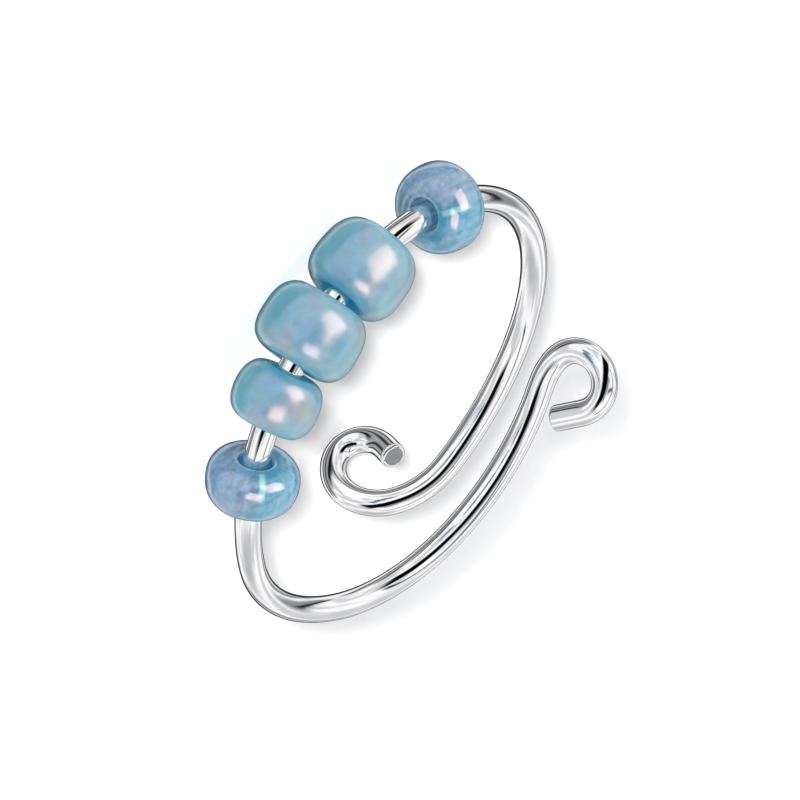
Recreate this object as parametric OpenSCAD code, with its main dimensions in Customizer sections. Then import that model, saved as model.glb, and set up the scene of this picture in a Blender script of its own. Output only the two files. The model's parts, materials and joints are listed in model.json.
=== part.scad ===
// Spinner ring: an open ring bent from one round wire, its two ends passing side by side
// and each rolled into a scroll, with five glass beads that turn freely on the wire.
// Lengths are in millimetres. +Z is up and the ring lies on its side on z = 0,
// on its low scroll and two of its beads. The beads are at -X and the two ends at +X.

/* [Wire] */
// Inner diameter of the ring, the finger's own
inner_d = 18; // [16:0.25:21]
// Diameter of the round wire
wire_d = 1.1; // [0.9:0.05:1.3]
// Rounding of the rim at both cut ends of the wire
end_round = 0.14; // [0.05:0.01:0.3]

/* [Scrolls] */
// Radius of the low scroll's main turn, to the middle of the wire
low_scroll_r = 2; // [1.7:0.05:2.4]
// Radius of the high scroll's turn, to the middle of the wire
high_scroll_r = 1.3; // [1.1:0.05:1.6]
// Straight stretch at the tip of the low scroll
low_tip = 0.9; // [0.4:0.1:1.4]
// Straight stretch at the tip of the high scroll
high_tip = 1.4; // [0.8:0.1:1.8]

/* [Beads] */
// Diameter of the two clear beads at the ends of the row
end_bead_d = 3.8; // [3.2:0.05:4.4]
// Length of the two clear beads along their bores
end_bead_len = 2.25; // [2:0.05:3]
// Diameter of the two large pearly beads in the middle
mid_bead_d = 4.3; // [3.6:0.05:5]
// Length of the two large pearly beads
mid_bead_len = 3.1; // [2.5:0.05:3.4]
// Diameter of the small pearly bead beside them
small_bead_d = 3.7; // [3.2:0.05:4.4]
// Length of the small pearly bead
small_bead_len = 2.5; // [2:0.05:3]
// Rounding where a clear bead's bore meets its end faces, drawn in wide by the fire polish
clear_mouth_round = 0.24; // [0.12:0.01:0.3]
// The same rounding of the pearly beads
pearly_mouth_round = 0.13; // [0.08:0.01:0.25]

/* [Fits] */
// Slack between wire and bore on each side of the clear beads, beyond what the wire's bend takes up
clear_play = 0.12; // [0.1:0.01:0.2]
// The same slack in the pearly beads
pearly_play = 0.3; // [0.24:0.01:0.36]
// Smallest gap between the three pearly beads, at the inner side of the ring
bead_gap = 0.08; // [0.06:0.01:0.2]
// Bare wire between the first clear bead and the pearly ones
first_bare = 2.15; // [1.5:0.05:2.6]
// Bare wire between the last clear bead and the pearly ones
last_bare = 1.45; // [0.8:0.05:1.8]
// Turn of the middle bead round the ring, away from the row's middle
row_turn = 6.3; // [4:0.1:9]

/* [Hidden] */
$fn = 64;

wire_r = wire_d / 2;
ring_r = (inner_d + wire_d) / 2;
// The stretch that carries the beads is bent a little closer than the rest
front_r = 0.96 * ring_r;
front_half = 58;

// Neighbouring bends stop a hair apart, and a short core just under the surface joins them
joint_gap = 0.01;
core_depth = 0.002;
core_len = 0.1;

// The bends of each arm, from the end of the front stretch to the tip.
// Each is a radius, an angle, and the twist of the bending plane about the wire before it.
RADIUS = 0;
ANGLE = 1;
TWIST = 2;
LOW_BENDS = [
    [1.00 * ring_r, 117, 6],
    [2.05 * low_scroll_r, 36, 57],
    [1.00 * low_scroll_r, 126, 45],
    [0.50 * low_scroll_r, 94, -16],
    [0.85 * low_scroll_r, 36, 1],
];
HIGH_BENDS = [
    [1.09 * ring_r, 21, -12],
    [0.96 * ring_r, 48, 23],
    [0.95 * ring_r, 91, -11],
    [2.70 * high_scroll_r, 23, 113],
    [1.00 * high_scroll_r, 212, -12],
];

// The beads from +Y to -Y: diameter, length, squareness of the ends, squareness of the belly,
// how far the belly leans towards the next bead, as a share of the radius, the rounding of the
// mouths, the slack of the bore, and two shares of that slack: how far the bead sits outwards on the wire, and how far
// its ends swing across the wire where it leans on the middle bead
DIAMETER = 0;
LENGTH = 1;
END_POWER = 2;
BELLY_POWER = 3;
LEAN = 4;
MOUTH = 5;
PLAY = 6;
SEAT = 7;
SWING = 8;
BEADS = [
    [end_bead_d, end_bead_len, 2.5, 2.1, -0.05, clear_mouth_round, clear_play, 0.50, 0],
    [0.965 * mid_bead_d, 1.02 * mid_bead_len, 2.6, 2.3, 0.08, pearly_mouth_round, pearly_play, -0.12, 0.85],
    [1.025 * mid_bead_d, mid_bead_len, 2.5, 2.3, 0.05, pearly_mouth_round, pearly_play, 0.70, 0],
    [small_bead_d, small_bead_len, 2.3, 2.1, -0.02, pearly_mouth_round, pearly_play, 0.27, -0.50],
    [1.01 * end_bead_d, end_bead_len, 2.5, 2.1, -0.08, clear_mouth_round, clear_play, 0.00, 0],
];
MIDDLE_BEAD = 2;

// Placing matrices
function move(v) = [[1, 0, 0, v[0]], [0, 1, 0, v[1]], [0, 0, 1, v[2]], [0, 0, 0, 1]];
function turn_x(a) = [[1, 0, 0, 0], [0, cos(a), -sin(a), 0], [0, sin(a), cos(a), 0], [0, 0, 0, 1]];
function turn_z(a) = [[cos(a), -sin(a), 0, 0], [sin(a), cos(a), 0, 0], [0, 0, 1, 0], [0, 0, 0, 1]];
function place_of(m) = [m[0][3], m[1][3], m[2][3]];
function x_axis_of(m) = [m[0][0], m[1][0], m[2][0]];
function y_axis_of(m) = [m[0][1], m[1][1], m[2][1]];
function unit(v) = v / norm(v);

// The wire's frame part of the way along a bend: it heads along +X and bends towards +Y
function along(bend, share) =
    let (r = bend[RADIUS], a = bend[ANGLE] * share)
    turn_x(bend[TWIST]) * move([r * sin(a), r * (1 - cos(a)), 0]) * turn_z(a);
// The frames at which the bends of an arm start, and the one at which its tip starts
function frames(bends, start) = [
    for (i = 0, m = start; i <= len(bends); m = i < len(bends) ? m * along(bends[i], 1) : m, i = i + 1) m
];
low_start = turn_z(180 - front_half) * move([front_r, 0, 0]) * turn_z(-90) * turn_x(180);
high_start = turn_z(180 + front_half) * move([front_r, 0, 0]) * turn_z(90);
front_start = turn_z(180 - front_half) * move([front_r, 0, 0]) * turn_z(90);
low_frames = frames(LOW_BENDS, low_start);
high_frames = frames(HIGH_BENDS, high_start);

// Bead sizes that follow from the wire: a straight bore on a bent wire needs room for its sagitta
function sagitta(bead) = pow(bead[LENGTH], 2) / (8 * front_r);
function bore_r(bead) = wire_r + sagitta(bead) / 2 + bead[PLAY];
function rim_r(bead) = bore_r(bead) + bead[MOUTH];
function axis_r(bead) = front_r - sagitta(bead) / 2 + bead[SEAT] * bead[PLAY];
function swing_turn(bead) = atan(bead[SWING] * bead[PLAY] / (bead[LENGTH] / 2));
// Turn from one bead to the next, for a gap measured at a given radius of the ring
function step_turn(a, b, gap, r) = ((a[LENGTH] + b[LENGTH]) / 2 + gap) / r * 180 / PI;
// Beads that lean towards each other meet a little sooner, at the inner side of their mouths' rims
function snug_turn(a, b) =
    let (rim = max(rim_r(a), rim_r(b)), lean_in = (swing_turn(a) - swing_turn(b)) * PI / 180)
    step_turn(a, b, bead_gap - rim * lean_in, (axis_r(a) + axis_r(b)) / 2 - rim);
bead_turns = [
    row_turn - snug_turn(BEADS[1], BEADS[2]) - step_turn(BEADS[0], BEADS[1], first_bare, front_r),
    row_turn - snug_turn(BEADS[1], BEADS[2]),
    row_turn,
    row_turn + snug_turn(BEADS[2], BEADS[3]),
    row_turn + snug_turn(BEADS[2], BEADS[3]) + step_turn(BEADS[3], BEADS[4], last_bare, front_r),
];
// A bead's frame: +X away from the ring's middle and +Y along its bore, towards the next bead
function bead_frame(i) =
    turn_z(180 + bead_turns[i]) * move([axis_r(BEADS[i]), 0, 0]) * turn_z(swing_turn(BEADS[i]));

// Outline of a bead as points [radius, place along the bore]: a squared ellipse outside the mouth's rim
BELLY_STEPS = 28;
MOUTH_STEPS = 4;
function sign_power(v, p) = sign(v) * pow(abs(v), p);
function belly(bead) =
    let (rise = bead[DIAMETER] / 2 - rim_r(bead))
    [for (i = [0 : BELLY_STEPS])
        let (a = 180 * i / BELLY_STEPS, share = -sign_power(cos(a), 2 / bead[END_POWER]))
        [rim_r(bead) + rise * pow(sin(a), 2 / bead[BELLY_POWER]) * (1 + bead[LEAN] * share),
         share * bead[LENGTH] / 2]];
function mouth(bead, side) = [
    for (i = [1 : MOUTH_STEPS])
        let (a = 90 * (side > 0 ? i : MOUTH_STEPS - i) / MOUTH_STEPS)
        [rim_r(bead) - bead[MOUTH] * sin(a),
         side * (bead[LENGTH] / 2 - bead[MOUTH] * (1 - cos(a)))]
];

// How the ring lies: the direction that is up when it touches the floor at its low scroll
// and at the middle bead and the one before it, found by a few rounds of setting it down
SAMPLES = 24;
function bead_touch(i, up) =
    let (m = bead_frame(i), axis = y_axis_of(m), slope = -up * axis, down = unit(-up - slope * axis),
         drops = [for (p = belly(BEADS[i])) p[1] * slope + p[0] * norm(cross(up, axis))],
         p = belly(BEADS[i])[search(max(drops), drops)[0]])
    place_of(m) + p[1] * axis + p[0] * down;
function arm_samples(bends, starts) = [
    for (i = [0 : len(bends) - 1]) for (s = [0 : SAMPLES]) starts[i] * along(bends[i], s / SAMPLES)
];
low_samples = concat(arm_samples(LOW_BENDS, low_frames), [low_frames[len(LOW_BENDS)] * move([low_tip, 0, 0])]);
high_samples = concat(arm_samples(HIGH_BENDS, high_frames), [high_frames[len(HIGH_BENDS)] * move([high_tip, 0, 0])]);
function scroll_touch(up) =
    let (drops = [for (m = low_samples) -up * place_of(m)])
    place_of(low_samples[search(max(drops), drops)[0]]) - wire_r * up;
function set_down(up, rounds) =
    rounds == 0 ? up :
    let (a = scroll_touch(up), b = bead_touch(MIDDLE_BEAD - 1, up), c = bead_touch(MIDDLE_BEAD, up),
         n = unit(cross(b - a, c - a)))
    set_down(n[2] > 0 ? n : -n, rounds - 1);
up = set_down([0, 0, 1], 8);
lay_x = unit([1, 0, 0] - up[0] * up);
lay_y = cross(up, lay_x);

// How far the ring reaches in a direction, to put the origin under the middle of its box
function wire_reach(samples, e) = max([
    for (m = samples) place_of(m) * e + wire_r * norm(cross(x_axis_of(m), e))
]);
function bead_reach(i, e) =
    let (m = bead_frame(i), axis = y_axis_of(m))
    place_of(m) * e + max([for (p = belly(BEADS[i])) p[1] * (axis * e) + p[0] * norm(cross(axis, e))]);
function reach(e) = max(
    wire_reach(low_samples, e), wire_reach(high_samples, e),
    max([for (i = [0 : len(BEADS) - 1]) bead_reach(i, e)])
);
mid_x = (reach(lay_x) - reach(-lay_x)) / 2;
mid_y = (reach(lay_y) - reach(-lay_y)) / 2;
lay = [
    [lay_x[0], lay_x[1], lay_x[2], -mid_x],
    [lay_y[0], lay_y[1], lay_y[2], -mid_y],
    [up[0], up[1], up[2], reach(-up)],
    [0, 0, 0, 1]
];

// One bend of the wire, a true stretch of a torus, which heads along +X at its start
module wire_bend(radius, angle) {
    trim = joint_gap / 2 / radius * 180 / PI;
    translate([0, radius, 0])
        rotate([0, 0, trim - 90])
            rotate_extrude(angle = angle - 2 * trim)
                translate([radius, 0])
                    circle(r = wire_r);
}

// The core that joins two bends, or the last bend and the tip
module wire_core() {
    rotate([0, 90, 0])
        cylinder(r = wire_r - core_depth, h = core_len, center = true);
}

// The straight tip of the wire with a rounded rim, heading along +X
module wire_tip(length) {
    rim_steps = 4;
    rim = [for (i = [0 : rim_steps]) let (a = 90 * i / rim_steps) [
        wire_r - end_round * (1 - cos(a)),
        length - end_round * (1 - sin(a))
    ]];
    rotate([0, 90, 0])
        rotate_extrude()
            polygon(concat([[0, joint_gap / 2], [wire_r, joint_gap / 2]], rim, [[0, length]]));
}

module arm(bends, starts, tip) {
    for (i = [0 : len(bends) - 1])
        multmatrix(starts[i] * turn_x(bends[i][TWIST])) {
            wire_core();
            wire_bend(bends[i][RADIUS], bends[i][ANGLE]);
        }
    multmatrix(starts[len(bends)]) {
        wire_core();
        wire_tip(tip);
    }
}

// The whole ring, one piece of polished wire
module ring_wire() {
    color("silver")
        multmatrix(lay) {
            multmatrix(front_start)
                wire_bend(front_r, 2 * front_half);
            arm(LOW_BENDS, low_frames, low_tip);
            arm(HIGH_BENDS, high_frames, high_tip);
        }
}

// A glass bead with a straight round bore, where it sits on the wire
module bead(i, shade) {
    b = BEADS[i];
    color(shade)
        multmatrix(lay * bead_frame(i))
            rotate([-90, 0, 0])
                rotate_extrude()
                    polygon(concat(belly(b), mouth(b, 1), mouth(b, -1)));
}
module bead_1() bead(0, "cornflowerblue");
module bead_2() bead(1, "lightskyblue");
module bead_3() bead(2, "skyblue");
module bead_4() bead(3, "lightskyblue");
module bead_5() bead(4, "cornflowerblue");

ring_wire();
bead_1();
bead_2();
bead_3();
bead_4();
bead_5();
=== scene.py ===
import json
import math
from collections import namedtuple

import bpy
from mathutils import Matrix, Vector, noise


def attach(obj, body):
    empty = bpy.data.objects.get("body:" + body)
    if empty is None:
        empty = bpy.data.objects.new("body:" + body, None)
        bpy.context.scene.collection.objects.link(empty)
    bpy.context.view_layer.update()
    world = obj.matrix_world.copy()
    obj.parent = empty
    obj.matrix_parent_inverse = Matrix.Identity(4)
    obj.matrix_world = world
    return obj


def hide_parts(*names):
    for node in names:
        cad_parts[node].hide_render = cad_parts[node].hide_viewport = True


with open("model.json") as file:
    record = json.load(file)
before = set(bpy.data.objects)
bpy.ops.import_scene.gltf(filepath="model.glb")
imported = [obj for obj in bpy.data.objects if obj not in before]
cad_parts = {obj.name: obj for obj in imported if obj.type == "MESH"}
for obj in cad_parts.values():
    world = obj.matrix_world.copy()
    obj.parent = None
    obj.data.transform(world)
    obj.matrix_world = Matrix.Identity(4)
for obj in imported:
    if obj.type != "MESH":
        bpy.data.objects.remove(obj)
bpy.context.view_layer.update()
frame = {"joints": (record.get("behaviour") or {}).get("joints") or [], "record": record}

# Sizes are in millimetres and angles in degrees where nothing else is said. The scene is in metres
MM = 0.001

# Where the ring lies: its middle and its axis are those of the finger's seat, and its beads lie to -X
SEAT = frame["record"]["mounts"][0]
RING_MIDDLE = Vector(SEAT["pos_m"])
RING_AXIS = Vector(SEAT["axis"]).normalized()
RING_ACROSS = Vector((0, 1, 0)).cross(RING_AXIS).normalized()
RING_TURN = Matrix((RING_ACROSS, RING_AXIS.cross(RING_ACROSS), RING_AXIS)).transposed()
RING_PLACE = Matrix.Translation(RING_MIDDLE / MM) @ RING_TURN.to_4x4()

# The photographer's view in the ring's own frame: how far the lens is round from -X and up from the
# ring's plane, how far the picture is rolled, its scale, and where the ring's middle is in it
CAMERA_AZIMUTH = 10.76
CAMERA_ELEVATION = 27.69
CAMERA_ROLL = 120.30
PIXELS_PER_MM = 24.622
RING_MIDDLE_PX = (394.3, 400.5)
IMAGE_PX = 800
LENS_MM = 1200.0
SENSOR_MM = 36.0

# The wire: the stretch that carries the beads is bent a little closer than the rest of the ring
INNER_D = 18.0
WIRE_D = 1.1
RING_R = (INNER_D + WIRE_D) / 2
FRONT_R = 0.96 * RING_R
FRONT_HALF = 58.0
LOW_SCROLL_R = 2.0
HIGH_SCROLL_R = 1.3
LOW_TIP = 0.9
HIGH_TIP = 1.4
END_ROUND = 0.14

# Each bend of the two arms, from the front stretch to the tip, with the twist that comes before it
Bend = namedtuple("Bend", "radius angle twist")
LOW_BENDS = (
    Bend(1.00 * RING_R, 117, 6),
    Bend(2.05 * LOW_SCROLL_R, 36, 57),
    Bend(1.00 * LOW_SCROLL_R, 126, 45),
    Bend(0.50 * LOW_SCROLL_R, 94, -16),
    Bend(0.85 * LOW_SCROLL_R, 36, 1),
)
HIGH_BENDS = (
    Bend(1.09 * RING_R, 21, -12),
    Bend(0.96 * RING_R, 48, 23),
    Bend(0.95 * RING_R, 91, -11),
    Bend(2.70 * HIGH_SCROLL_R, 23, 113),
    Bend(1.00 * HIGH_SCROLL_R, 212, -12),
)

# How finely the wire is made: the step along it, the points to each side over which one bend
# eases into the next, the steps over a filed rim, the space kept behind it, and the wire's sides
PATH_STEP = 0.1
EASE_REACH = 5
RIM_STEPS = 6
RIM_SPACE = 0.03
WIRE_SIDES = 40

# The beads: diameter and length, squareness of the ends and of the belly, how far the belly leans
# along the bore, as a share of its height, the play on the wire, the rounding of the mouths, and
# how many degrees the bead is turned from facing the lens
CLEAR_PLAY = 0.12
CLEAR_MOUTH = 0.24
PEARLY_PLAY = 0.30
PEARLY_MOUTH = 0.13
Bead = namedtuple("Bead", "diameter length ends belly lean play mouth turned")
BEADS = {
    "bead_1": Bead(3.80, 2.250, 2.5, 2.1, -0.05, CLEAR_PLAY, CLEAR_MOUTH, -10),
    "bead_2": Bead(4.15, 3.162, 2.6, 2.3, 0.08, PEARLY_PLAY, PEARLY_MOUTH, 0),
    "bead_3": Bead(4.41, 3.100, 2.5, 2.3, 0.05, PEARLY_PLAY, PEARLY_MOUTH, 0),
    "bead_4": Bead(3.70, 2.500, 2.3, 2.1, -0.02, PEARLY_PLAY, PEARLY_MOUTH, 0),
    "bead_5": Bead(3.84, 2.250, 2.5, 2.1, -0.08, CLEAR_PLAY, CLEAR_MOUTH, -12),
}
CLEAR_BEADS = ("bead_1", "bead_5")

# How finely a bead is made: steps round it, from end to end over its belly, over a mouth, and
# through its bore
BEAD_SIDES = 96
BELLY_STEPS = 56
MOUTH_STEPS = 6
BORE_STEPS = 8

# A hand-made bead's unevenness at its belly, as a share of the radius, how quickly it changes
# round the bead and along each millimetre of it, and how far apart two beads' patterns are
UNEVEN = 0.022
UNEVEN_ROUND = 0.9
UNEVEN_ALONG = 0.5
PATTERN_STEP = Vector((7.3, 3.1, 5.7))

# The studio: half the floor's width and where the lamps aim, in metres, how bright the tent is,
# and the lamps' colours
FLOOR_HALF = 3.0
LAMP_AIM = Vector((0, 0, 0.004))
TENT_STRENGTH = 1.10
WARM_LAMP = "#FFEBDF"
WHITE_LAMP = "#FFFFFF"


def linear(colour):
    """An sRGB hex colour as linear values, with no part see-through."""
    channels = [int(colour[i:i + 2], 16) / 255 for i in (1, 3, 5)]
    return [c / 12.92 if c <= 0.04045 else ((c + 0.055) / 1.055) ** 2.4 for c in channels] + [1.0]


def per(size):
    """The scale of a pattern whose features are about so many millimetres wide."""
    return 1 / (size * MM)


def add(tree, kind, links=None, **settings):
    """Adds a node with its settings; links gives what each of its inputs takes, a socket or a value."""
    made = tree.nodes.new(kind)
    for name, value in settings.items():
        setattr(made, name, value)
    for key, value in (links or {}).items():
        if isinstance(value, bpy.types.NodeSocket):
            tree.links.new(value, made.inputs[key])
        else:
            made.inputs[key].default_value = value
    return made


def set_stops(ramp, stops):
    """Gives a colour ramp its stops, from the lowest: pairs of a position and a colour."""
    elements = ramp.color_ramp.elements
    while len(elements) < len(stops):
        elements.new(1.0)
    for element, (position, colour) in zip(elements, stops):
        element.position = position
        element.color = linear(colour)


# The wire's path


def move(offset):
    return Matrix.Translation(Vector(offset))


def turn(axis, degrees):
    return Matrix.Rotation(math.radians(degrees), 4, axis)


def along(bend, share):
    """The wire's frame part of the way along a bend: it heads along +X and bends towards +Y."""
    bent = bend.angle * share
    angle = math.radians(bent)
    arc_end = (bend.radius * math.sin(angle), bend.radius * (1 - math.cos(angle)), 0)
    return turn("X", bend.twist) @ move(arc_end) @ turn("Z", bent)


def arm_points(bends, start, tip):
    """Points along one arm, from the end of the front stretch to the end of its straight tip."""
    points = []
    at = start
    for bend in bends:
        count = round(bend.radius * math.radians(bend.angle) / PATH_STEP)
        points += [(at @ along(bend, i / count)).translation for i in range(count)]
        at = at @ along(bend, 1)
    count = round(tip / PATH_STEP)
    return points + [(at @ move((tip * i / count, 0, 0))).translation for i in range(count + 1)]


def wire_points():
    """The middle of the wire from the low scroll's tip to the high scroll's, evenly spaced."""
    to_front = move((FRONT_R, 0, 0))
    low_start = turn("Z", 180 - FRONT_HALF) @ to_front @ turn("Z", -90) @ turn("X", 180)
    high_start = turn("Z", 180 + FRONT_HALF) @ to_front @ turn("Z", 90)
    front_start = turn("Z", 180 - FRONT_HALF) @ to_front @ turn("Z", 90)
    low = arm_points(LOW_BENDS, low_start, LOW_TIP)
    high = arm_points(HIGH_BENDS, high_start, HIGH_TIP)
    front = Bend(FRONT_R, 2 * FRONT_HALF, 0)
    count = round(front.radius * math.radians(front.angle) / PATH_STEP)
    middle = [(front_start @ along(front, i / count)).translation for i in range(1, count)]
    return low[::-1] + middle + high


def eased(points):
    """Eases each bend into the next, as a wire bent by hand over a mandrel has it."""
    last = len(points) - 1
    steps = range(-EASE_REACH, EASE_REACH + 1)
    weights = [math.exp(-0.5 * (k / (EASE_REACH / 2)) ** 2) for k in steps]
    out = []
    for i in range(last + 1):
        reach = min(EASE_REACH, i, last - i)
        used = weights[EASE_REACH - reach:EASE_REACH + reach + 1]
        near = points[i - reach:i + reach + 1]
        out.append(sum((p * w for p, w in zip(near, used)), Vector()) / sum(used))
    return out


def filed_rim(tip, before):
    """A cut end's filed rim, where the wire narrows along a quarter circle: place and width share."""
    heading = (tip - before).normalized()
    made = []
    for i in range(RIM_STEPS + 1):
        angle = math.pi / 2 * i / RIM_STEPS
        back = END_ROUND * (1 - math.sin(angle))
        share = 1 - END_ROUND / (WIRE_D / 2) * (1 - math.cos(angle))
        made.append((tip - heading * back, share))
    return made


def wire_path():
    """Points of the wire's middle in metres and, at each, the share of the full wire radius."""
    points = eased(wire_points())
    low_tip, high_tip = points[0], points[-1]
    space = END_ROUND + RIM_SPACE
    keep = [p for p in points if min((p - low_tip).length, (p - high_tip).length) > space]
    path = filed_rim(low_tip, keep[0])[::-1]
    path += [(p, 1.0) for p in keep]
    path += filed_rim(high_tip, keep[-1])
    return [((RING_PLACE @ p) * MM, share) for p, share in path]


# Materials


def new_material(name):
    """An empty material with its shader already joined to its output."""
    material = bpy.data.materials.new(name)
    material.use_nodes = True
    tree = material.node_tree
    tree.nodes.clear()
    shader = add(tree, "ShaderNodeBsdfPrincipled")
    add(tree, "ShaderNodeOutputMaterial", {"Surface": shader.outputs["BSDF"]})
    return material, tree, shader


def polished_silver_plate():
    # Silver plate on drawn brass wire, barrel polished: a mirror with the faintest haze, over
    # soft low waves a millimetre or two long that the tumbling left. The haze's own scratches
    # are too fine to show, so it is drawn in spots of a tenth of a millimetre
    material, tree, shader = new_material("silver_plate_barrel_polished")
    place = add(tree, "ShaderNodeTexCoord").outputs["Object"]
    waves = add(tree, "ShaderNodeTexNoise", {
        "Vector": place, "Scale": per(1.4), "Detail": 1.5, "Roughness": 0.4,
    })
    haze = add(tree, "ShaderNodeTexNoise", {
        "Vector": place, "Scale": per(0.11), "Detail": 3.0, "Roughness": 0.6,
    })
    shade = add(tree, "ShaderNodeValToRGB", {"Fac": waves.outputs["Fac"]})
    set_stops(shade, ((0.3, "#ECECEE"), (0.7, "#F6F5F3")))
    rough = add(tree, "ShaderNodeMapRange", {
        "Value": haze.outputs["Fac"], "From Min": 0.3, "From Max": 0.7, "To Min": 0.03, "To Max": 0.06,
    })
    low = add(tree, "ShaderNodeBump", {
        "Height": waves.outputs["Fac"], "Strength": 0.05, "Distance": 0.2 * MM,
    })
    tree.links.new(shade.outputs["Color"], shader.inputs["Base Color"])
    tree.links.new(rough.outputs["Result"], shader.inputs["Roughness"])
    tree.links.new(low.outputs["Normal"], shader.inputs["Normal"])
    shader.inputs["Metallic"].default_value = 1.0
    return material


def cut_wire_end():
    # The same plate over a sheared and filed end: matt grey, with file marks that are a sixth
    # of a millimetre long and a sixth of that wide
    material, tree, shader = new_material("silver_plate_sheared_end")
    place = add(tree, "ShaderNodeTexCoord").outputs["Object"]
    filed = add(tree, "ShaderNodeMapping", {
        "Vector": place, "Scale": (1.0, 6.0, 1.0), "Rotation": (0.4, 0.3, 0.6),
    })
    marks = add(tree, "ShaderNodeTexNoise", {
        "Vector": filed.outputs["Vector"], "Scale": per(0.17), "Detail": 3.0,
    })
    shade = add(tree, "ShaderNodeValToRGB", {"Fac": marks.outputs["Fac"]})
    set_stops(shade, ((0.3, "#A6A8AC"), (0.7, "#BCBDC0")))
    bump = add(tree, "ShaderNodeBump", {
        "Height": marks.outputs["Fac"], "Strength": 0.3, "Distance": 0.02 * MM,
    })
    tree.links.new(shade.outputs["Color"], shader.inputs["Base Color"])
    tree.links.new(bump.outputs["Normal"], shader.inputs["Normal"])
    shader.inputs["Metallic"].default_value = 1.0
    shader.inputs["Roughness"].default_value = 0.6
    return material


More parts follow.
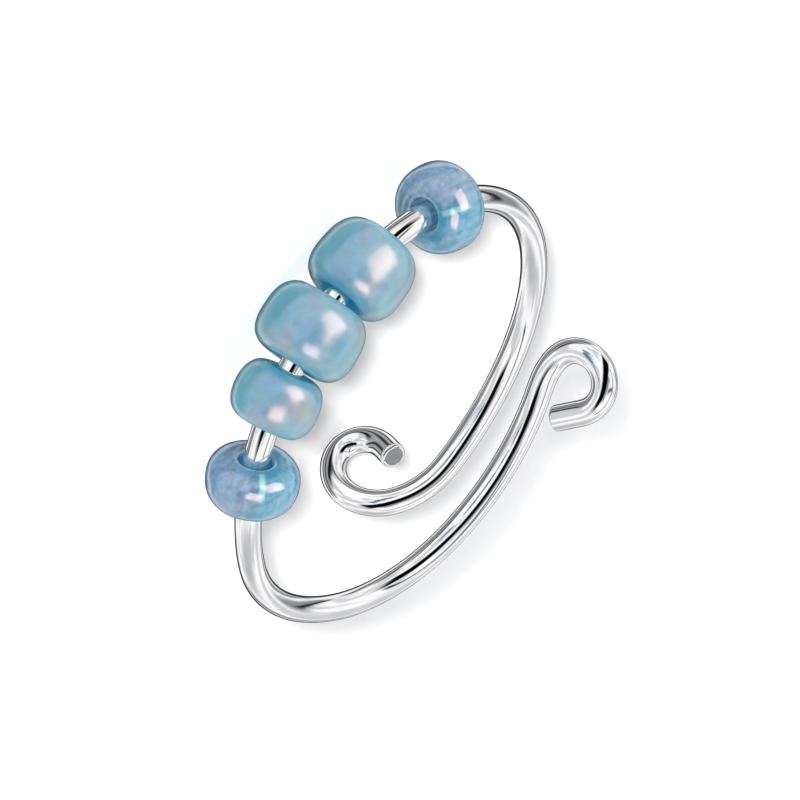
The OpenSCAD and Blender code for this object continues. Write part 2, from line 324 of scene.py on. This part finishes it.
def clear_blue_glass():
    # Blue seed-bead glass, cut from drawn tube and fire polished: one looks a little way into
    # it, past streaks that run along the bore. A thin lustre is fired on unevenly, so that one
    # side is lilac and the other is water blue, partly its own tint and partly painted sheen.
    # A painted pale streak parts them, with painted darker teal beside it: painted refraction
    # of the bore. The glass's own threads are finer than shown: they are drawn a quarter of a
    # millimetre wide
    material, tree, shader = new_material("blue_glass_fire_polished_lustre")
    grain = add(tree, "ShaderNodeAttribute", attribute_name="bead_place").outputs["Vector"]
    side = add(tree, "ShaderNodeAttribute", attribute_name="bead_side").outputs["Fac"]
    near = add(tree, "ShaderNodeAttribute", attribute_name="bead_near").outputs["Fac"]
    swell = add(tree, "ShaderNodeAttribute", attribute_name="bead_swell").outputs["Fac"]
    drawn = add(tree, "ShaderNodeMapping", {"Vector": grain, "Scale": (1.0, 1.0, 0.12)})
    streaks = add(tree, "ShaderNodeTexNoise", {
        "Vector": drawn.outputs["Vector"], "Scale": per(0.25), "Detail": 3.0, "Roughness": 0.55,
    })
    mottle = add(tree, "ShaderNodeTexNoise", {
        "Vector": grain, "Scale": per(0.24), "Detail": 2.0, "Roughness": 0.5,
    })
    patch = add(tree, "ShaderNodeTexNoise", {"Vector": grain, "Scale": per(1.1), "Detail": 1.0})
    # The lustre, from water blue at one side to lilac at the other: partly the lustre's own tint and
    # partly painted lilac sheen on one side
    wander = add(tree, "ShaderNodeMath", {
        0: patch.outputs["Fac"], 1: 0.30, 2: side,
    }, operation="MULTIPLY_ADD")
    lustre_tint_and_painted_sheen = add(tree, "ShaderNodeMapRange", {
        "Value": wander.outputs["Value"], "From Min": -0.85, "From Max": 1.15,
    })
    lustre = add(tree, "ShaderNodeValToRGB", {"Fac": lustre_tint_and_painted_sheen.outputs["Result"]})
    # The darker teal stops at 0.41 and 0.49 lie either side of the pale streak: painted refraction of the
    # bore
    set_stops(lustre, (
        (0.00, "#5CA8D0"),
        (0.30, "#62B0D4"),
        (0.41, "#4AA6C8"),
        (0.49, "#58A6C6"),
        (0.60, "#78A4C6"),
        (1.00, "#7CA6C8"),
    ))
    # The painted pale streak, painted refraction of the bore, from the mouth that is seen to near the
    # belly
    away = add(tree, "ShaderNodeMath", {0: side, 1: 0.06}, operation="ADD")
    width = add(tree, "ShaderNodeMath", {0: away.outputs["Value"]}, operation="ABSOLUTE")
    line = add(tree, "ShaderNodeMapRange", {
        "Value": width.outputs["Value"], "From Min": 0.09, "From Max": 0.03,
    }, interpolation_type="SMOOTHSTEP")
    start = add(tree, "ShaderNodeMapRange", {
        "Value": swell, "From Min": 0.05, "From Max": 0.25,
    }, interpolation_type="SMOOTHSTEP")
    stop = add(tree, "ShaderNodeMapRange", {
        "Value": near, "From Min": 0.05, "From Max": 0.45, "To Max": 0.9,
    }, interpolation_type="SMOOTHSTEP")
    length = add(tree, "ShaderNodeMath", {
        0: start.outputs["Result"], 1: stop.outputs["Result"],
    }, operation="MULTIPLY")
    painted_bore_streak = add(tree, "ShaderNodeMath", {
        0: line.outputs["Result"], 1: length.outputs["Value"],
    }, operation="MULTIPLY")
    with_painted_bore_streak = add(tree, "ShaderNodeMix", {
        "Factor": painted_bore_streak.outputs["Value"], 6: lustre.outputs["Color"], 7: linear("#A6E0EC"),
    }, data_type="RGBA")
    # Brighter inside the bore, where light comes through the glass from all round
    rim = add(tree, "ShaderNodeMapRange", {
        "Value": swell, "From Min": -0.22, "From Max": -0.04,
    }, interpolation_type="SMOOTHSTEP")
    body = add(tree, "ShaderNodeMix", {
        "Factor": rim.outputs["Result"], 6: linear("#A4DCFC"), 7: with_painted_bore_streak.outputs[2],
    }, data_type="RGBA")
    # Darker and lighter threads and clouds in the glass
    both = add(tree, "ShaderNodeMath", {
        0: streaks.outputs["Fac"], 1: 1.6, 2: mottle.outputs["Fac"],
    }, operation="MULTIPLY_ADD")
    grey = add(tree, "ShaderNodeMapRange", {
        "Value": both.outputs["Value"], "From Min": 1.0, "From Max": 1.6, "To Min": 0.72, "To Max": 1.04,
    })
    tint = add(tree, "ShaderNodeVectorMath", {
        0: body.outputs[2], "Scale": grey.outputs["Result"],
    }, operation="SCALE")
    rough = add(tree, "ShaderNodeMapRange", {
        "Value": mottle.outputs["Fac"], "From Min": 0.3, "From Max": 0.7, "To Min": 0.14, "To Max": 0.24,
    })
    bump = add(tree, "ShaderNodeBump", {
        "Height": streaks.outputs["Fac"], "Strength": 0.06, "Distance": 0.04 * MM,
    })
    tree.links.new(tint.outputs["Vector"], shader.inputs["Base Color"])
    tree.links.new(rough.outputs["Result"], shader.inputs["Roughness"])
    tree.links.new(bump.outputs["Normal"], shader.inputs["Normal"])
    shader.inputs["IOR"].default_value = 1.52
    shader.inputs["Transmission Weight"].default_value = 0.25
    shader.inputs["Subsurface Weight"].default_value = 0.7
    shader.inputs["Subsurface Radius"].default_value = (0.6, 0.9, 1.0)
    shader.inputs["Subsurface Scale"].default_value = 1.4 * MM
    shader.inputs["Coat Weight"].default_value = 1.0
    shader.inputs["Coat Roughness"].default_value = 0.17
    shader.inputs["Coat IOR"].default_value = 1.7
    shader.inputs["Thin Film Thickness"].default_value = 296.0
    shader.inputs["Thin Film IOR"].default_value = 1.65
    return material


def pearly_blue_glass():
    # Milky blue glass under a satin pearl lustre, fired on and rumbled: soft wide highlights
    # with a pink edge, light that goes well into the glass, saturated blue round the mouths that
    # is painted glow of light through the glass, and patches of green, lilac and grey where the
    # lustre is thicker or thinner, with one side greener, partly its tint and partly painted sheen
    material, tree, shader = new_material("milky_blue_glass_satin_pearl_lustre")
    grain = add(tree, "ShaderNodeAttribute", attribute_name="bead_place").outputs["Vector"]
    side = add(tree, "ShaderNodeAttribute", attribute_name="bead_side").outputs["Fac"]
    swell = add(tree, "ShaderNodeAttribute", attribute_name="bead_swell").outputs["Fac"]
    patches = add(tree, "ShaderNodeTexNoise", {
        "Vector": grain, "Scale": per(1.6), "Detail": 2.0, "Distortion": 0.4,
    })
    cloud = add(tree, "ShaderNodeTexNoise", {
        "Vector": grain, "Scale": per(0.4), "Detail": 3.0, "Roughness": 0.55,
    })
    lustre = add(tree, "ShaderNodeValToRGB", {"Fac": patches.outputs["Fac"]})
    set_stops(lustre, (
        (0.30, "#4A92B0"),
        (0.42, "#5297B2"),
        (0.50, "#5E9EB0"),
        (0.58, "#6896B2"),
        (0.70, "#829AA2"),
    ))
    # A greener left side, as the photo's middle bead has it
    # The greener side is partly the lustre's own tint and partly painted sheen
    green_tint_and_painted_sheen = add(tree, "ShaderNodeMapRange", {
        "Value": side, "From Min": 0.25, "From Max": 0.95, "To Max": 0.5,
    }, interpolation_type="SMOOTHSTEP")
    sided = add(tree, "ShaderNodeMix", {
        "Factor": green_tint_and_painted_sheen.outputs["Result"], 6: lustre.outputs["Color"], 7: linear("#5AA6B8"),
    }, data_type="RGBA")
    # Saturated blue at the mouths, painted bright as a glow of light through the glass that lifts the
    # shade in the hollows, which fades out up the swell of the bead
    painted_mouth_glow = add(tree, "ShaderNodeMapRange", {
        "Value": swell, "From Min": 0.0, "From Max": 0.55,
    }, interpolation_type="SMOOTHSTEP")
    body = add(tree, "ShaderNodeMix", {
        "Factor": painted_mouth_glow.outputs["Result"], 6: linear("#8CDCFF"), 7: sided.outputs[2],
    }, data_type="RGBA")
    grey = add(tree, "ShaderNodeMapRange", {
        "Value": cloud.outputs["Fac"], "From Min": 0.3, "From Max": 0.7, "To Min": 0.86, "To Max": 0.98,
    })
    tint = add(tree, "ShaderNodeVectorMath", {
        0: body.outputs[2], "Scale": grey.outputs["Result"],
    }, operation="SCALE")
    rough = add(tree, "ShaderNodeMapRange", {
        "Value": cloud.outputs["Fac"], "From Min": 0.3, "From Max": 0.7, "To Min": 0.34, "To Max": 0.42,
    })
    bump = add(tree, "ShaderNodeBump", {
        "Height": patches.outputs["Fac"], "Strength": 0.12, "Distance": 0.2 * MM,
    })
    tree.links.new(tint.outputs["Vector"], shader.inputs["Base Color"])
    tree.links.new(rough.outputs["Result"], shader.inputs["Roughness"])
    tree.links.new(bump.outputs["Normal"], shader.inputs["Normal"])
    shader.inputs["IOR"].default_value = 1.52
    shader.inputs["Subsurface Weight"].default_value = 0.9
    shader.inputs["Subsurface Radius"].default_value = (0.5, 0.9, 1.0)
    shader.inputs["Subsurface Scale"].default_value = 1.8 * MM
    shader.inputs["Coat Weight"].default_value = 1.0
    shader.inputs["Coat Roughness"].default_value = 0.21
    shader.inputs["Coat IOR"].default_value = 1.8
    shader.inputs["Thin Film Thickness"].default_value = 294.0
    shader.inputs["Thin Film IOR"].default_value = 1.7
    return material


def matt_white_card():
    # Heavy uncoated card: an even near-white without gloss, and the faintest tooth, which is
    # drawn a millimetre wide so that it shows
    material, tree, shader = new_material("matt_white_card")
    place = add(tree, "ShaderNodeTexCoord").outputs["Object"]
    tooth = add(tree, "ShaderNodeTexNoise", {"Vector": place, "Scale": per(1.1), "Detail": 3.0})
    shade = add(tree, "ShaderNodeValToRGB", {"Fac": tooth.outputs["Fac"]})
    set_stops(shade, ((0.0, "#F0F0F1"), (1.0, "#F5F5F6")))
    tree.links.new(shade.outputs["Color"], shader.inputs["Base Color"])
    shader.inputs["Roughness"].default_value = 0.9
    shader.inputs["Specular IOR Level"].default_value = 0.1
    return material


# The wire


def wire_tree(plate, end):
    """Sweeps a round wire along a path of edges, and gives its two cut ends their own finish."""
    tree = bpy.data.node_groups.new("wire_along_path", "GeometryNodeTree")
    face = tree.interface
    face.new_socket("Path", in_out="INPUT", socket_type="NodeSocketGeometry")
    radius = face.new_socket("Wire radius", in_out="INPUT", socket_type="NodeSocketFloat")
    sides = face.new_socket("Sides", in_out="INPUT", socket_type="NodeSocketInt")
    face.new_socket("Wire", in_out="OUTPUT", socket_type="NodeSocketGeometry")
    given = add(tree, "NodeGroupInput")
    path = add(tree, "GeometryNodeMeshToCurve", {"Mesh": given.outputs["Path"]})
    share = add(tree, "GeometryNodeInputNamedAttribute", {"Name": "wire_share"}, data_type="FLOAT")
    ring = add(tree, "GeometryNodeCurvePrimitiveCircle", {
        "Resolution": given.outputs["Sides"], "Radius": given.outputs["Wire radius"],
    })
    swept = add(tree, "GeometryNodeCurveToMesh", {
        "Curve": path.outputs["Curve"], "Profile Curve": ring.outputs["Curve"],
        "Scale": share.outputs["Attribute"], "Fill Caps": True,
    })
    smooth = add(tree, "GeometryNodeSetShadeSmooth", {"Geometry": swept.outputs["Mesh"]})
    real = add(tree, "GeometryNodeRealizeInstances", {"Geometry": smooth.outputs["Geometry"]})
    polished = add(tree, "GeometryNodeSetMaterial", {
        "Geometry": real.outputs["Geometry"], "Material": plate,
    })
    # The two ends are the only faces with more than four corners
    corners = add(tree, "GeometryNodeInputMeshFaceNeighbors")
    is_end = add(tree, "FunctionNodeCompare", {
        2: corners.outputs["Vertex Count"], 3: 4,
    }, data_type="INT", operation="GREATER_THAN")
    ends = add(tree, "GeometryNodeSetMaterial", {
        "Geometry": polished.outputs["Geometry"], "Selection": is_end.outputs["Result"], "Material": end,
    })
    add(tree, "NodeGroupOutput", {"Wire": ends.outputs["Geometry"]})
    return tree, radius.identifier, sides.identifier


def make_wire(plate, end):
    """The whole wire as one plain mesh, swept along its path."""
    path = wire_path()
    mesh = bpy.data.meshes.new("ring_wire_path")
    mesh.from_pydata([p for p, _ in path], [(i, i + 1) for i in range(len(path) - 1)], [])
    shares = mesh.attributes.new("wire_share", "FLOAT", "POINT")
    shares.data.foreach_set("value", [share for _, share in path])
    guide = bpy.data.objects.new("ring_wire_guide", mesh)
    bpy.context.scene.collection.objects.link(guide)
    tree, radius, sides = wire_tree(plate, end)
    sweep = guide.modifiers.new("Sweep", "NODES")
    sweep.node_group = tree
    sweep[radius] = WIRE_D / 2 * MM
    sweep[sides] = WIRE_SIDES
    evaluated = guide.evaluated_get(bpy.context.evaluated_depsgraph_get())
    made = bpy.data.meshes.new_from_object(evaluated)
    guide.modifiers.remove(sweep)
    bpy.data.objects.remove(guide)
    wire = bpy.data.objects.new("polished_wire", made)
    bpy.context.scene.collection.objects.link(wire)
    return wire


# The beads


def bore_radius(sizes):
    """Room in a straight bore for the wire, for its bend within the bead, and for the play."""
    bend_rise = sizes.length ** 2 / (8 * FRONT_R)
    return WIRE_D / 2 + bend_rise / 2 + sizes.play


def signed_power(value, power):
    return math.copysign(abs(value) ** power, value)


def bead_outline(sizes):
    """Closed outline of a bead as (radius, place along the bore), round the wall once."""
    bore = bore_radius(sizes)
    mouth = sizes.mouth
    rim = bore + mouth
    half = sizes.length / 2
    inner = half - mouth
    outline = []
    for i in range(BELLY_STEPS + 1):
        angle = math.pi * i / BELLY_STEPS
        share = -signed_power(math.cos(angle), 2 / sizes.ends)
        swell = (sizes.diameter / 2 - rim) * max(0.0, math.sin(angle)) ** (2 / sizes.belly)
        outline.append((rim + swell * (1 + sizes.lean * share), share * half))
    for i in range(1, MOUTH_STEPS + 1):
        angle = math.pi / 2 * i / MOUTH_STEPS
        outline.append((rim - mouth * math.sin(angle), inner + mouth * math.cos(angle)))
    for i in range(1, BORE_STEPS):
        outline.append((bore, inner - 2 * inner * i / BORE_STEPS))
    for i in range(MOUTH_STEPS):
        angle = math.pi / 2 * (1 - i / MOUTH_STEPS)
        outline.append((rim - mouth * math.sin(angle), -inner - mouth * math.cos(angle)))
    return outline


def wall_faces(rows):
    """Faces between each outline of a bead and the next one round it."""
    faces = []
    for k in range(BEAD_SIDES):
        here, there = k * rows, (k + 1) % BEAD_SIDES * rows
        for i in range(rows):
            j = (i + 1) % rows
            faces.append((here + i, there + i, there + j, here + j))
    return faces


def bead_frame(joint):
    """A bead's turn and place in metres: Z along its bore, X away from the ring's middle."""
    place = Vector(joint["pos_m"])
    axis = Vector(joint["axis"]).normalized()
    outward = place - RING_MIDDLE
    outward = (outward - axis * outward.dot(axis)).normalized()
    return Matrix((outward, axis.cross(outward), axis)).transposed(), place


def make_bead(name, material, number):
    """A bead, with what its glass needs at each point of it kept as attributes."""
    sizes = BEADS[name]
    outline = bead_outline(sizes)
    turned, place = bead_frame(next(j for j in frame["joints"] if j["child"] == name))
    rim = bore_radius(sizes) + sizes.mouth
    full = sizes.diameter / 2
    shift = PATTERN_STEP * number
    # The bead is turned on the wire until the face that the photo shows looks at the lens
    lens = turned.transposed() @ camera_axes()[2]
    facing = math.atan2(lens.y, lens.x) + math.radians(sizes.turned)
    points, grain, side, near, swell = [], [], [], [], []
    for k in range(BEAD_SIDES):
        angle = 2 * math.pi * k / BEAD_SIDES
        out = Vector((math.cos(angle), math.sin(angle), 0))
        for radius, height in outline:
            along_bore = Vector((0, 0, height))
            # Nothing of the unevenness at the bore and the mouths, and most at the belly
            rise = (radius - rim) / (full - rim)
            uneven = noise.noise(out * UNEVEN_ROUND + along_bore * UNEVEN_ALONG + shift)
            point = out * (radius * (1 + UNEVEN * max(0.0, rise) * uneven)) + along_bore
            points.append((turned @ (point * MM)) + place)
            # Where the glass's pattern is read, how far the point is to one side of the face that
            # looks at the lens, how far along towards the lens, and how far out from the rim
            grain += list((point + shift) * MM)
            side.append((point.y * math.cos(facing) - point.x * math.sin(facing)) / full)
            near.append(height / (sizes.length / 2) * math.copysign(1, lens.z))
            swell.append(rise)
    faces = wall_faces(len(outline))
    mesh = bpy.data.meshes.new(name + "_glass")
    mesh.from_pydata(points, [], faces)
    mesh.attributes.new("bead_place", "FLOAT_VECTOR", "POINT").data.foreach_set("vector", grain)
    for attribute, values in (("bead_side", side), ("bead_near", near), ("bead_swell", swell)):
        mesh.attributes.new(attribute, "FLOAT", "POINT").data.foreach_set("value", values)
    mesh.polygons.foreach_set("use_smooth", [True] * len(faces))
    mesh.materials.append(material)
    bead = bpy.data.objects.new(name + "_glass", mesh)
    bpy.context.scene.collection.objects.link(bead)
    return bead


# The studio


def direction(azimuth, elevation):
    """A direction, in degrees round from +X towards +Y and up towards +Z."""
    azimuth, elevation = math.radians(azimuth), math.radians(elevation)
    level = math.cos(elevation)
    return Vector((math.cos(azimuth) * level, math.sin(azimuth) * level, math.sin(elevation)))


def camera_axes():
    """The camera's right, up and backward directions in the scene."""
    back = direction(CAMERA_AZIMUTH + 180, CAMERA_ELEVATION)
    level = direction(CAMERA_AZIMUTH - 90, 0)
    upright = back.cross(level)
    roll = math.radians(CAMERA_ROLL)
    right = math.cos(roll) * level + math.sin(roll) * upright
    up = -math.sin(roll) * level + math.cos(roll) * upright
    return RING_TURN @ right, RING_TURN @ up, RING_TURN @ back


def seen(out, way_round):
    """A direction from the lens: degrees away from it, and round from the picture's right."""
    right, up, back = camera_axes()
    out, way_round = math.radians(out), math.radians(way_round)
    sideways = right * math.cos(way_round) + up * math.sin(way_round)
    return sideways * math.sin(out) + back * math.cos(out)


def make_camera():
    """A long lens, placed so that the ring's middle falls where the photo has it."""
    right, up, back = camera_axes()
    off_right = (IMAGE_PX / 2 - RING_MIDDLE_PX[0]) / PIXELS_PER_MM * MM
    off_up = (RING_MIDDLE_PX[1] - IMAGE_PX / 2) / PIXELS_PER_MM * MM
    aim = RING_MIDDLE + right * off_right + up * off_up
    distance = IMAGE_PX / PIXELS_PER_MM * MM * LENS_MM / SENSOR_MM
    data = bpy.data.cameras.new("camera")
    data.lens = LENS_MM
    data.sensor_width = SENSOR_MM
    data.clip_start = 0.01
    data.clip_end = 10.0
    camera = bpy.data.objects.new("camera", data)
    turned = Matrix((right, up, back)).transposed().to_4x4()
    camera.matrix_world = Matrix.Translation(aim + back * distance) @ turned
    bpy.context.scene.collection.objects.link(camera)
    bpy.context.scene.camera = camera


def make_floor():
    """A plain sheet of card under the ring."""
    half = FLOOR_HALF
    mesh = bpy.data.meshes.new("studio_floor")
    corners = [(-half, -half, 0), (half, -half, 0), (half, half, 0), (-half, half, 0)]
    mesh.from_pydata(corners, [], [(0, 1, 2, 3)])
    mesh.materials.append(matt_white_card())
    floor = bpy.data.objects.new("studio_floor", mesh)
    bpy.context.scene.collection.objects.link(floor)
    # Wire and beads mirror the tent all round, and not the card under them
    floor.visible_glossy = False
    return floor


def softbox(name, way, spread, radiance, lit, colour, distance=0.4):
    """A square lamp so many metres away, which spreads so many degrees to each side as the ring
    sees it, and lights only what is given."""
    size = 2 * distance * math.tan(math.radians(spread))
    data = bpy.data.lights.new(name, "AREA")
    data.shape = "SQUARE"
    data.size = size
    data.energy = radiance * math.pi * size * size
    data.color = linear(colour)[:3]
    lamp = bpy.data.objects.new(name, data)
    turned = way.to_track_quat("Z", "Y").to_matrix().to_4x4()
    lamp.matrix_world = Matrix.Translation(LAMP_AIM + way * distance) @ turned
    bpy.context.scene.collection.objects.link(lamp)
    group = bpy.data.collections.new(name + "_lights")
    for thing in lit:
        group.objects.link(thing)
    lamp.light_linking.receiver_collection = group


def make_tent():
    """A white tent round the ring, with the dark and grey gaps that the polished wire mirrors."""
    world = bpy.data.worlds.new("white_tent")
    bpy.context.scene.world = world
    world.use_nodes = True
    tree = world.node_tree
    tree.nodes.clear()
    way = add(tree, "ShaderNodeTexCoord").outputs["Generated"]

    def angle_from(vector):
        cosine = add(tree, "ShaderNodeVectorMath", {0: way, 1: tuple(vector)}, operation="DOT_PRODUCT")
        angle = add(tree, "ShaderNodeMath", {0: cosine.outputs["Value"]}, operation="ARCCOSINE")
        return angle.outputs["Value"]

    def within(angle, limit, soft):
        # 1 inside so many degrees, 0 outside, with a soft edge
        return add(tree, "ShaderNodeMapRange", {
            "Value": angle, "From Min": math.radians(limit + soft), "From Max": math.radians(limit - soft),
        }, interpolation_type="SMOOTHSTEP").outputs["Result"]

    def gap(pole, distance, half, soft, middle, reach):
        # A strip that keeps its distance from a pole, as far as it reaches to each side of its middle
        end_soft = 8
        off = add(tree, "ShaderNodeMath", {
            0: angle_from(pole), 1: math.radians(distance),
        }, operation="SUBTRACT")
        size = add(tree, "ShaderNodeMath", {0: off.outputs["Value"]}, operation="ABSOLUTE")
        return add(tree, "ShaderNodeMath", {
            0: within(size.outputs["Value"], half, soft),
            1: within(angle_from(middle), reach, end_soft),
        }, operation="MULTIPLY").outputs["Value"]

    def mixed(share, before, colour):
        return add(tree, "ShaderNodeMix", {
            "Factor": share, 6: before, 7: linear(colour),
        }, data_type="RGBA").outputs[2]

    # Soft folds in the white cloth
    folds = add(tree, "ShaderNodeTexNoise", {"Vector": way, "Scale": 2.4, "Detail": 1.0})
    cloth = add(tree, "ShaderNodeMapRange", {
        "Value": folds.outputs["Fac"], "From Min": 0.36, "From Max": 0.56,
    }, interpolation_type="SMOOTHSTEP")
    tone = mixed(cloth.outputs["Result"], linear("#CFD0D4"), "#FFFFFF")

    # A grey patch below, which shades the ring's side bends
    tone = mixed(within(angle_from(seen(110, -100)), 22, 14), tone, "#BDBEC1")

    # The gaps, later ones over earlier ones: the grey sides and dark seams of the tent's frame,
    # and last the long black slot beside the lens. Each has its pole, its distance from it, half
    # its width, its soft edge, its middle, its reach to each side of that, and its colour
    lens = seen(0, 0)
    gaps = (
        (lens, 87, 9, 5, seen(87, 140), 32, "#85878A"),
        (lens, 104, 14, 6, seen(104, 138), 60, "#A4A5A8"),
        (lens, 84, 4, 2.5, seen(84, 122), 30, "#141516"),
        (lens, 125, 8, 5, seen(125, 15), 32, "#8E9093"),
        (lens, 121, 2.5, 1.5, seen(121, 20), 26, "#303133"),
        (lens, 74, 2.4, 1.2, seen(74, -35), 55, "#3C3D40"),
        (lens, 100, 3.5, 1.5, seen(100, 140), 62, "#3A3B3D"),
        (lens, 118, 3.5, 1.5, seen(118, 135), 62, "#1C1D1E"),
        (lens, 146, 5, 2.5, seen(146, -40), 45, "#8E9094"),
        (seen(90, -69), 51, 4, 2.5, seen(60, -30), 22, "#6E7073"),
        (seen(74, 133), 101, 9, 6, seen(28, -50), 30, "#8A8C90"),
        (seen(74, 133), 85.5, 13, 3, seen(15, 14), 66, "#030304"),
    )
    for pole, distance, half, soft, middle, reach, colour in gaps:
        tone = mixed(gap(pole, distance, half, soft, middle, reach), tone, colour)

    # The dark behind the ring, which outlines the wire
    tone = mixed(within(angle_from(seen(169, 140)), 32, 5), tone, "#323335")
    lit = add(tree, "ShaderNodeBackground", {"Color": tone, "Strength": TENT_STRENGTH})
    add(tree, "ShaderNodeOutputWorld", {"Surface": lit.outputs["Background"]})


make_camera()
floor = make_floor()
make_tent()

wire = make_wire(polished_silver_plate(), cut_wire_end())
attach(wire, "ring")
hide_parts("ring_wire")
# Nothing mirrors the wire, so that its own lines aren't doubled where one stretch faces another
wire.visible_glossy = False

clear = clear_blue_glass()
pearly = pearly_blue_glass()
beads = []
for number, bead_name in enumerate(BEADS, 1):
    is_clear = bead_name in CLEAR_BEADS
    bead = make_bead(bead_name, clear if is_clear else pearly, number)
    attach(bead, bead_name)
    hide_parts(bead_name)
    beads.append(bead)

# The beads are lit by two softboxes as well, and the wire by the tent alone. The floor's own lamp
# stands beside the lens, so the card stays white and shadows fall behind the ring
softbox("softbox_right", direction(134.6, 36), spread=22, radiance=4.2, lit=beads, colour=WARM_LAMP)
softbox("softbox_left", direction(-138, 36), spread=17, radiance=4.2, lit=beads, colour=WARM_LAMP)
softbox(
    "floor_lamp", seen(2.2, 140), spread=1.8, radiance=2600, lit=[floor], colour=WHITE_LAMP, distance=2.0,
)
# Colours come out as they are given above
bpy.context.scene.view_settings.view_transform = "Standard"
